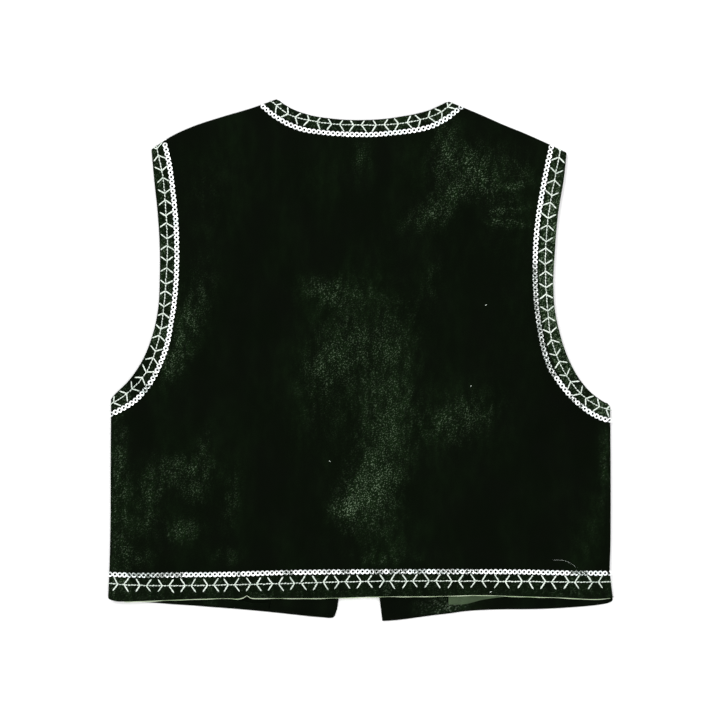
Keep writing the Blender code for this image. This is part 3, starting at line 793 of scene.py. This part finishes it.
# The hem edge is the same lining, painted far lighter than the lining above: a painted highlight on the
# edge that catches the light, lifted against the shade of the velvet hem above it.
lit_edge_look = woven("hem_edge_lit", (0.69, 0.78, 0.59, 1), (0.34, 0.47, 0.25, 1))
edge = back_hem(np.linspace(*HEM_LINING_ENDS, 260))
proud = HEM_LINING_PROUD * (0.75 + 0.25 * np.sin(edge[:, 0] * 190) * np.sin(edge[:, 0] * 61))
low = edge - proud[:, None] * left_of(unit(np.gradient(edge, axis=0)))
plan = between_lines(low, edge + [0, HEM_LINING_DEPTH], 6)
hem_lining = cloth(
    "hem_lining", lifted(plan, HEM_LINING_BOTTOM + INNER_CLOTH), INNER_CLOTH, lit_edge_look,
    "lining", "back_hem_lining", edge=INNER_EDGE,
)

# Sequins. Silver cup sequins, 4.6 mm wide with a 2.1 mm hole, sewn edge to edge in one row along each
# trimmed edge. Most shine white; some have lost part of their silver and look speckled and dim.
# Section of one sequin: columns radius, height above the cloth
SEQUIN_SECTION = ((0.00106, 0.0001), (0.0016, 0.0002), (0.0023, 0.00044), (0.0021, 0.00018))
SEQUIN_SIDES = 12
SEQUIN_TILT = 0.1
SEQUIN_LEAN = -0.05
SEQUIN_STEEPEST = 0.4
SEQUIN_SPREAD = 0.02
# Rise for each radian of tilt, and how much duller a worn sequin is
SEQUIN_CLEAR = 0.0011
WORN = 0.75
# Columns pitch, seed, coordinate that the worn stretches are given in, their ends in mm
SEQUIN_TABLE = {
    "neck": (0.00429, 21, 0, ()),
    "hem": (0.00429, 22, 0, (
        (-211, -160), (-113, -109), (-68, -59), (-31, -25), (-17, -10), (8, 20), (27, 42), (46, 59),
        (67, 89), (95, 108), (189, 207),
    )),
    "armhole_left": (0.00418, 24, 1, ((-16.5, -10), (-28, -23.5))),
    "armhole_right": (0.00418, 26, 1, ((-14, 85), (-37, -32), (-42, -40))),
}


def walk(line, pitch=None, places=None):
    """Points along a line, its direction there and its length.

    The points lie at the given lengths along the line, or one pitch apart from end to end of it.
    """
    dense = line(np.linspace(0, 1, 400))
    length = np.linalg.norm(np.diff(dense, axis=0), axis=1).sum()
    if places is None:
        places = np.linspace(0, length, int(round(length / pitch)) + 1)
    share, step = places / length, 0.0004 / length
    ahead = line(np.clip(share + step, 0, 1)) - line(np.clip(share - step, 0, 1))
    return line(share), unit(ahead), length


def frames_on(xy, way, height, step=0.0005, steepest=2.0):
    """Point, direction, sideways and normal on a surface, from its slope over a small step each way."""
    z = height(xy)
    steps = np.array(((step, 0), (0, step)))
    slopes = [np.clip((height(xy + d) - height(xy - d)) / (2 * step), -steepest, steepest) for d in steps]
    normal = unit(np.stack([-slopes[0], -slopes[1], np.ones_like(z)], axis=-1))
    ahead = lifted(way, 0.0)
    ahead = unit(ahead - normal * (ahead * normal).sum(-1)[..., None])
    return lifted(xy, z), ahead, np.cross(normal, ahead), normal


def repeated(points, faces):
    """The faces of one shape for each of its copies, whose points come one copy after another."""
    copies, size = points.shape[:2]
    return (faces[None] + (np.arange(copies) * size)[:, None, None]).reshape(-1, faces.shape[1])


def ring_faces(rings, sides, closed):
    """Quads between rings of points, also from the last ring to the first where it is closed."""
    first = np.arange(rings if closed else rings - 1)[:, None] * sides
    second = (np.arange(1, rings + 1 if closed else rings)[:, None] % rings) * sides
    k = np.arange(sides)[None]
    following = (k + 1) % sides
    return np.stack([first + k, first + following, second + following, second + k], -1).reshape(-1, 4)


def sequin_row(name, line, height, pitch, seed, axis, worn, look, under=1, rise_share=1):
    """A row of sequins: one section turned about each place's normal, tilted a little, on the cloth.

    Under is -1 for a row on the underside, and the rise share is how much of its height is left.
    """
    xy, way, _ = walk(line, pitch)
    frames = frames_on(xy, way, height, steepest=SEQUIN_STEEPEST)
    at, ahead, sideways, normal = (a[:, None, None] for a in frames)
    draw = np.random.default_rng(seed)
    tilt = draw.normal(0, SEQUIN_TILT, (2, len(xy), 1, 1, 1)) + [[[[[SEQUIN_LEAN]]]], [[[[0]]]]]
    turn = draw.uniform(0, 2 * np.pi, (len(xy), 1, 1)) + 2 * np.pi * np.arange(SEQUIN_SIDES) / SEQUIN_SIDES
    size = draw.normal(1, SEQUIN_SPREAD, (len(xy), 1, 1))
    radius, rise = np.array(SEQUIN_SECTION).T[:, None, :, None]
    x, y = radius * size * np.cos(turn), radius * size * np.sin(turn)
    x, y = x[..., None], y[..., None]
    rise = rise[..., None] + np.abs(tilt).sum(0) * SEQUIN_CLEAR + tilt[0] * x + tilt[1] * y
    points = at + x * ahead + y * sideways + under * rise_share * rise * normal
    points = points.reshape(len(xy), -1, 3)
    faces = repeated(points, ring_faces(len(SEQUIN_SECTION), SEQUIN_SIDES, True)[:, ::under])
    dull = draw.uniform(0, 1 - WORN, len(xy))
    for low, high in np.array(worn) / 1000:
        dull[(xy[:, axis] > low) & (xy[:, axis] < high)] += WORN
    dim = np.repeat(dull, points.shape[1])
    return piece(name, points, faces, look, "sequins", smooth=False, dim=dim)


def silvered(name):
    """Silvered plastic: bright and smooth, but where it is worn a fine noise strips it to dull grey."""
    material, place, shader = new_look(name, {"Specular IOR Level": 0.5})
    dim = place.node("ShaderNodeAttribute", {"attribute_name": "dim"}, output="Fac")
    flake = noise(place, 1000.0, 2.0, 0.7)
    tint = noise(place, 70.0, 1.0)
    stripped = (dim * 0.23 + flake).between(0.64, 0.71)
    silver = tint.between(0.45, 0.75).blend((0.87, 0.89, 0.88, 1), (0.8, 0.88, 0.87, 1))
    feed(shader, "Base Color", stripped.blend(silver, (0.085, 0.105, 0.085, 1)))
    feed(shader, "Roughness", 0.3 + 0.3 * stripped)
    feed(shader, "Metallic", 0.55 - 0.45 * stripped)
    return material


sequin_look = silvered("silver_sequin")
for row_name, line in sequin_lines.items():
    made = sequin_row("sequins_" + row_name, line, back_height, *SEQUIN_TABLE[row_name], sequin_look)
    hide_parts("sequin_row_" + row_name)

# Embroidery. Off-white cotton cord couched in a traditional border: a back-stitched centre line with
# pairs of arrow stitches that face each other. On the neck and armholes the arrows' outer arms turn
# over the edge of the cloth.
CORD_RADIUS = 0.00058
CORD_SIDES = 6
CORD_RINGS = 9
CORD_TWIST = 9.0
CORD_RAGGED = 0.16
CORD_SQUASH = 0.75
CORD_LIFT = 0.00012
CORD_BOW = 0.0003
STITCH_RINGS = 5
STITCH_PITCH = 0.0027
STITCH_RADIUS = 0.00046
STITCH_TWIST = 3.0
STITCH_LIFT = 0.0001
STITCH_LENGTH = 0.98
STITCH_SLANT = 0.1
STITCH_STRAY = 0.00012
ARM_ALONG = 0.0042
ARM_OUT = 0.0062
ARM_STRAY = 0.0002
ARM_MARGIN = 0.0002
SHORTEST_ARM = 0.3
# Columns one arrow's tip, motifs counted from it and how far along they lie, tip to tip, seed
ARROWS = {
    "neck": ((-0.0059, 0.2116), ((-8, -0.1616), (8, 0.1616)), 0.0071, 41),
    "hem": (
        (-0.2186, -0.2016),
        ((-1, -0.0202), (4, 0.0812), (5, 0.0997), (11, 0.2194), (15, 0.3011), (22, 0.448)), 0.0056, 42,
    ),
    "armhole_left": ((-0.21, -0.0305), ((-1, -0.0204), (14, 0.2856)), 0.006, 43),
    "armhole_right": ((0.221, -0.0445), ((-1, -0.0207), (14, 0.2898)), 0.006, 44),
}


def cord_run(lines, normal, radius, rings, twist, draw, squash):
    """Short lengths of two-ply cord: rings of a two-lobed section that turns along each centre line.

    lines holds the centre lines, one row of points for each length. The ends taper to a third, and the
    section's height is squashed to the given share.
    """
    forward = unit(np.gradient(lines, axis=1))
    side = unit(np.cross(normal, forward))
    up = np.cross(forward, side)
    share = np.linspace(0, 1, rings)
    taper = 0.34 + 0.66 * np.sqrt(np.clip(1 - np.abs(2 * share - 1) ** 5, 0, 1))
    angle = 2 * np.pi * np.arange(CORD_SIDES) / CORD_SIDES
    phase = draw.uniform(0, np.pi, (len(lines), 1, 1))
    lobes = 1 + 0.2 * np.cos(2 * (angle - twist * share[:, None]) + phase)
    ragged = draw.normal(1, CORD_RAGGED, (len(lines), rings, CORD_SIDES))
    reach = radius * taper[:, None] * lobes * ragged * draw.normal(1, 0.06, (len(lines), 1, 1))
    aside, above = (reach * np.cos(angle))[..., None], (squash * reach * np.sin(angle))[..., None]
    return lines[:, :, None] + side[:, :, None] * aside + up[:, :, None] * above


def cord_faces(rings):
    """Quads of one length of cord, with a fan folded over each end."""
    walls = ring_faces(rings, CORD_SIDES, False)[:, ::-1]
    last = (rings - 1) * CORD_SIDES
    halves = np.array([[0, 1, 2, 5], [5, 2, 3, 4]])
    return np.concatenate([walls, halves, (halves + last)[:, ::-1]])


def room_inside(xy, outline):
    """How far inside a closed outline each point lies, negative outside.

    The size is the distance to the outline's nearest run. A point is inside where a ray to its right
    crosses an odd number of runs.
    """
    a, b = outline, np.roll(outline, -1, axis=0)
    run = b - a
    apart = feet(xy, a, run)[0].min(-1)
    x, y = xy[..., :1], xy[..., 1:]
    spans = (a[:, 1] > y) != (b[:, 1] > y)
    crossing = a[:, 0] + (y - a[:, 1]) * run[:, 0] / np.where(run[:, 1] == 0, 1, run[:, 1])
    return np.where((spans & (crossing > x)).sum(-1) % 2 == 1, apart, -apart)


def arrow_arms(line, outline, tip, spacing, apart, seed):
    """Centre lines of the arrows' arms, each straight from its arrow's tip, along and out.

    The motifs are spaced evenly between those of the table. The first arrow of each points forward and
    the second one back. An arm is cut to the share of it that lies inside the outline.
    """
    draw = np.random.default_rng(seed)
    length = walk(line, 1.0)[2]
    number, place = np.array(spacing).T
    k = np.arange(number[0], number[-1] + 1)
    first = measure(np.array(tip), line, 400)[1] + np.interp(k, number, place)
    places = np.stack([first, first + apart], axis=1).ravel()
    facing = np.tile([-1, 1], len(k))
    inside = (places > 0) & (places < length)
    xy, way, _ = walk(line, places=places[inside])
    across, side = left_of(way)[:, None], np.array([-1, 1])[None, :, None]
    long, out = draw.normal(1, 0.05, (2, len(xy), 2, 1))
    arm = way[:, None] * facing[inside][:, None, None] * long * ARM_ALONG + across * side * out * ARM_OUT
    tips = xy[:, None] + draw.normal(0, ARM_STRAY, (len(xy), 2, 2))
    tips, arm = tips.reshape(-1, 1, 2), arm.reshape(-1, 1, 2)
    whole = room_inside(tips + np.linspace(0, 1, 40)[None, :, None] * arm, outline) > ARM_MARGIN
    fits = np.minimum.accumulate(whole, axis=1).mean(axis=1)[:, None, None]
    arms = tips + fits * np.linspace(0, 1, CORD_RINGS)[None, :, None] * arm
    return arms[fits[:, 0, 0] > SHORTEST_ARM]


def cords(plan, height, rise, radius, rings, twist, draw, under=1, squash=CORD_SQUASH):
    """Points and faces of cords along the plan's rows, raised off the cloth by the rise."""
    at, _, _, normal = frames_on(plan, np.broadcast_to([1.0, 0.0], plan.shape), height)
    lines = at + under * normal * np.broadcast_to(rise, plan.shape[:2])[..., None]
    points = cord_run(lines, under * normal, radius, rings, twist, draw, squash)
    points = points.reshape(len(plan), -1, 3)
    return points, repeated(points, cord_faces(rings))


def embroidery(name, line, outline, height, arrows, look, under=1, rise_share=1):
    """One trim: its arrows' arms and its back stitches, joined in one mesh.

    Each length of cord is bowed up from the cloth, an arm by the root of a half sine wave and a stitch
    by half a cosine wave. Under and the rise share are as for a row of sequins.
    """
    draw = np.random.default_rng(arrows[-1] + 50)
    laid = (draw, under, CORD_SQUASH * rise_share)
    plan = arrow_arms(line, outline, *arrows)
    bow = np.sin(np.pi * np.linspace(0, 1, CORD_RINGS)) ** 0.5
    rise = rise_share * (CORD_LIFT + CORD_BOW * bow)
    arms, arm_faces = cords(plan, height, rise, CORD_RADIUS, CORD_RINGS, CORD_TWIST, *laid)
    xy, way, _ = walk(line, STITCH_PITCH)
    share = np.linspace(-0.5, 0.5, STITCH_RINGS)[None, :, None]
    slanted = (way + left_of(way) * STITCH_SLANT)[:, None]
    plan = xy[:, None] + slanted * share * STITCH_PITCH * STITCH_LENGTH
    plan = plan + draw.normal(0, STITCH_STRAY, (len(xy), 1, 2))
    rise = rise_share * (STITCH_LIFT + CORD_BOW * np.cos(np.pi * share[0, :, 0]))
    stitches, stitch_faces = cords(plan, height, rise, STITCH_RADIUS, STITCH_RINGS, STITCH_TWIST, *laid)
    points = np.concatenate([arms.reshape(-1, 3), stitches.reshape(-1, 3)])
    faces = np.concatenate([arm_faces, stitch_faces + arms.size // 3])
    return piece(name, points, faces, look, "sequins")


def cotton(name, pale, grey):
    """Loose cotton cord: off-white, greyer where the fine ply noise is low, in the hollows of the
    fibre-fine bump that the same noise makes, as painted shade, and a little greyer where a broad noise
    marks it soiled.
    """
    fixed = {"Roughness": 0.85, "Specular IOR Level": 0.15, "Sheen Weight": 0.15, "Sheen Roughness": 0.5}
    material, place, shader = new_look(name, fixed)
    soiled = noise(place, 55.0)
    ply = noise(place, 1300.0, 2.0, 0.6)
    # Painted shade: the cord is greyer in the hollows of its bump, and a little greyer where it is soiled.
    feed(shader, "Base Color", (ply * 0.7 + soiled * 0.3).between(0.38, 0.58).blend(grey, pale))
    feed(shader, "Normal", bump(0.5, 0.0003, ply))
    return material


cord_look = cotton("white_cord", (0.8, 0.87, 0.79, 1), (0.38, 0.46, 0.39, 1))
BACK_OUTLINE = outline_of(
    (back_hem, 0, 1), (side_right, 0, 1), (armhole_right, 0, 1), (shoulder_right, 1, 0), (neck, 1, 0),
    (shoulder_left, 1, 0), (armhole_left, 1, 0), (side_left, 1, 0),
)
for row_name, line in stitch_lines.items():
    name, arrows = "embroidery_" + row_name, ARROWS[row_name]
    embroidery(name, line, BACK_OUTLINE, back_height, arrows, cord_look)

# Trims of the fronts. The same rows run along the fronts' armholes, open edges and hems, on the velvet
# side that lies on the table, where the weight of the vest presses them flat.
FRONT_RISE_SHARE = 0.32
FRONT_PITCH = 0.0043
# Motifs counted from a row's start and how far along they lie, tip to tip
FRONT_ARROWS = (((0, 0.006), (30, 0.612)), 0.006)
# A row runs to this far inside the outline, and leaves out what lies nearer its edge than this share
ROW_END_INSET = 0.0015
NOT_FOLDED = 0.985
EDGE_ROWS = {"sequins": 0.0126, "embroidery": 0.0052}
HEM_ROWS = {"sequins": 0.0234, "embroidery": 0.014}
ARMHOLE_ROWS = {"sequins": 0.0152, "embroidery": 0.0069}


def inside_row(edge, inset, outline, crossing=None, room=0):
    """The line at a distance to the right of an edge, negative for its left.

    It runs on straight from both ends. Only the stretch inside the outline is kept, and only what lies
    more than the room from a crossing line.
    """
    points = edge(np.linspace(0, 1, 200))
    points = points - inset * left_of(unit(np.gradient(points, axis=0)))
    points = points[measure(points, edge)[0] > NOT_FOLDED * abs(inset)]
    onward = np.arange(1, 25)[:, None] * 0.001
    first, last = unit(points[0] - points[6]), unit(points[-1] - points[-7])
    points = np.concatenate([points[0] + onward[::-1] * first, points, points[-1] + onward * last])
    keep = room_inside(points, outline) > ROW_END_INSET
    if crossing:
        keep &= measure(points, crossing)[0] > room
    points = points[keep]
    return curve(np.vstack([points[:-6:8], points[-1]]))


front_trims = {}
for side_name, cut in FRONTS.items():
    turn, outline = cut["inward"], cut["outline"]
    opening = chain((cut["edge"], cut["neck"]), 0.62)
    front_trims[side_name] = []
    for kind in ("sequins", "embroidery"):
        rows = {
            "armhole": inside_row(cut["armhole"], turn * ARMHOLE_ROWS[kind], outline),
            "hem": inside_row(cut["hem"], -turn * HEM_ROWS[kind], outline, opening, EDGE_ROWS[kind]),
            "opening": inside_row(opening, -turn * EDGE_ROWS[kind], outline, cut["hem"], HEM_ROWS[kind]),
        }
        for k, (place, line) in enumerate(rows.items()):
            name = "_".join((kind, "front", side_name, place))
            seed, under = 70 + 10 * k + turn, (-1, FRONT_RISE_SHARE)
            if kind == "sequins":
                made = sequin_row(name, line, front_height, FRONT_PITCH, seed, 0, (), sequin_look, *under)
            else:
                arrows = (line(0), *FRONT_ARROWS, seed)
                made = embroidery(name, line, outline, front_height, arrows, cord_look, *under)
            front_trims[side_name].append(made)

# Lint. A few short ends of white thread and one fine hair have settled on the nap.
LINT_LIFT = 0.0003
# Columns x, y, direction in degrees, length, radius, bow
LINT = (
    (0.113, 0.0495, 40, 0.0016, 0.00026, 0.0002), (-0.0275, -0.0909, 130, 0.0014, 0.00022, 0.0002),
    (0.0995, -0.0234, 75, 0.0014, 0.00022, 0.0002), (0.1172, -0.2088, 30, 0.0018, 0.00034, 0.0003),
    (0.184, -0.1838, -18, 0.024, 0.00004, 0.003),
)


def lint(name, table, look):
    """Loose fibres on the cloth, each a straight run with a half sine wave's bow to its left."""
    draw = np.random.default_rng(61)
    x, y, degrees, length, radius, bow = np.array(table).T[:, :, None]
    turn, share = np.radians(degrees), np.linspace(0, 1, CORD_RINGS)[None]
    along, aside = (share - 0.5) * length, bow * np.sin(np.pi * share)
    way = np.stack([np.cos(turn), np.sin(turn)], axis=-1)
    plan = np.stack([x, y], axis=-1) + along[..., None] * way + aside[..., None] * left_of(way)
    radius = radius[:, :, None]
    points, faces = cords(plan, back_height, LINT_LIFT, radius, CORD_RINGS, STITCH_TWIST, draw)
    return piece(name, points, faces, look, "velvet")


lint("lint", LINT, cord_look)

# The cut. The flat area inside the back's outline and inside each front's is worked out.
def flat_area(ring):
    """Area inside a closed outline: half the sum of the cross products of following points."""
    following = np.roll(ring, -1, axis=0)
    return abs((ring[:, 0] * following[:, 1] - ring[:, 1] * following[:, 0]).sum()) / 2


flat_area(BACK_OUTLINE)
for side_name, cut in FRONTS.items():
    flat_area(cut["outline"])
    "front_velvet_" + side_name

# Floor, soft light and camera. The camera hangs straight above the vest, as for the photograph, whose
# frame is 648 mm wide at the cloth.
FRAME_WIDTH = 0.648
CAMERA_HEIGHT = 2.4
CLOTH_LEVEL = 0.0055
PHOTO_CENTRE = (-0.00045, 0.0)
FLOOR_SIZE = 8.0

floor_look, _, floor_shader = new_look("pale_floor", {"Roughness": 0.9, "Specular IOR Level": 0.1})
floor_shader.inputs["Base Color"].default_value = (0.9, 0.9, 0.9, 1)
floor_mesh = bpy.data.meshes.new("floor")
corner = FLOOR_SIZE / 2
corners = ((-corner, -corner), (corner, -corner), (corner, corner), (-corner, corner))
floor_mesh.from_pydata([(x, y, -0.0002) for x, y in corners], [], [(0, 1, 2, 3)])
floor_mesh.materials.append(floor_look)
floor = placed("floor", floor_mesh)

LIGHTS = (
    ("key", (-1.1, 1.3, 1.9), 1.6, 38.0), ("fill", (1.5, -0.6, 1.8), 1.8, 18.0),
    ("top", (0.0, 0.0, 2.6), 2.2, 11.0),
)
for light_name, place, size, power in LIGHTS:
    lamp = bpy.data.lights.new(light_name, "AREA")
    lamp.size = size
    lamp.energy = power
    light = placed(light_name, lamp)
    light.location = place
    tilt = np.arctan2(np.hypot(place[0], place[1]), place[2])
    light.rotation_euler = (tilt, 0, np.arctan2(place[0], -place[1]))

world = bpy.data.worlds.new("studio")
world.use_nodes = True
world.node_tree.nodes["Background"].inputs["Color"].default_value = (1, 1, 1, 1)
world.node_tree.nodes["Background"].inputs["Strength"].default_value = 0.84
bpy.context.scene.world = world
bpy.context.scene.view_settings.view_transform = "Standard"

camera_data = bpy.data.cameras.new("camera")
camera_data.lens = camera_data.sensor_width * (CAMERA_HEIGHT - CLOTH_LEVEL) / FRAME_WIDTH
camera = placed("camera", camera_data)
camera.location = (*PHOTO_CENTRE, CAMERA_HEIGHT)
bpy.context.scene.camera = camera
